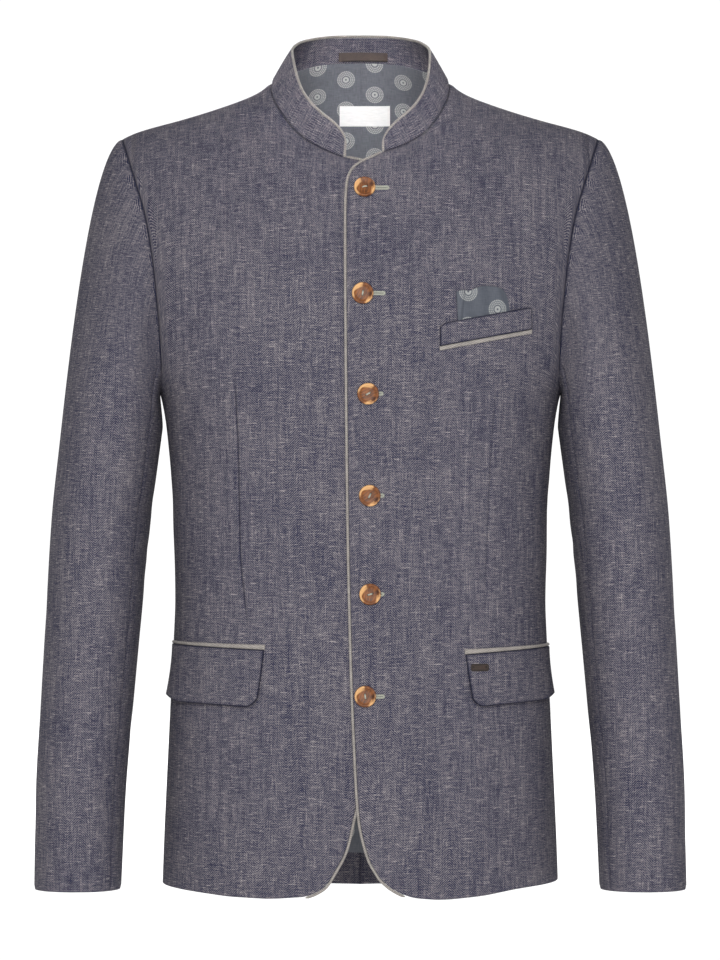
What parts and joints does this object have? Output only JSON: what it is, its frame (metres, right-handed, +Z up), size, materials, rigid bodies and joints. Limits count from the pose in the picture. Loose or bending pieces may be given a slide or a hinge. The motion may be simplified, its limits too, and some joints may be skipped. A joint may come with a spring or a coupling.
{
  "type": "stand-collar jacket",
  "caption": "Traditional stand-collar jacket in herringbone cloth with pale piping, horn buttons and flap pockets, open and hollow as if worn, with no wearer.",
  "frame": {"origin": "middle of the neck base, where the wearer holds the jacket up", "axes": "+X to the wearer's left, +Y to the back, +Z up; the front faces -Y"},
  "size_m": [0.576, 0.2647, 0.7713],
  "materials": {
    "cloth": "matte",
    "lining": "satin",
    "piping": "matte",
    "horn": "semi-gloss",
    "leather": "matte",
    "label": "matte"
  },
  "bodies": {
    "root": {"front_left": "cloth", "back_left": "cloth", "sleeve_left_upper": "cloth", "sleeve_left_under": "cloth", "flap_left": "cloth", "lining_back_left": "lining", "piping_front_left": "piping", "flap_piping_left": "piping", "front_right": "cloth", "back_right": "cloth", "sleeve_right_upper": "cloth", "sleeve_right_under": "cloth", "flap_right": "cloth", "lining_back_right": "lining", "piping_front_right": "piping", "flap_piping_right": "piping", "collar": "cloth", "piping_collar": "piping", "breast_welt": "cloth", "breast_welt_piping": "piping", "pocket_square": "lining", "flap_tab": "leather", "hanger_loop": "leather", "blank_label": "label", "button_1": "horn", "button_2": "horn", "button_3": "horn", "button_4": "horn", "button_5": "horn", "button_6": "horn"}
  },
  "joints": []
}
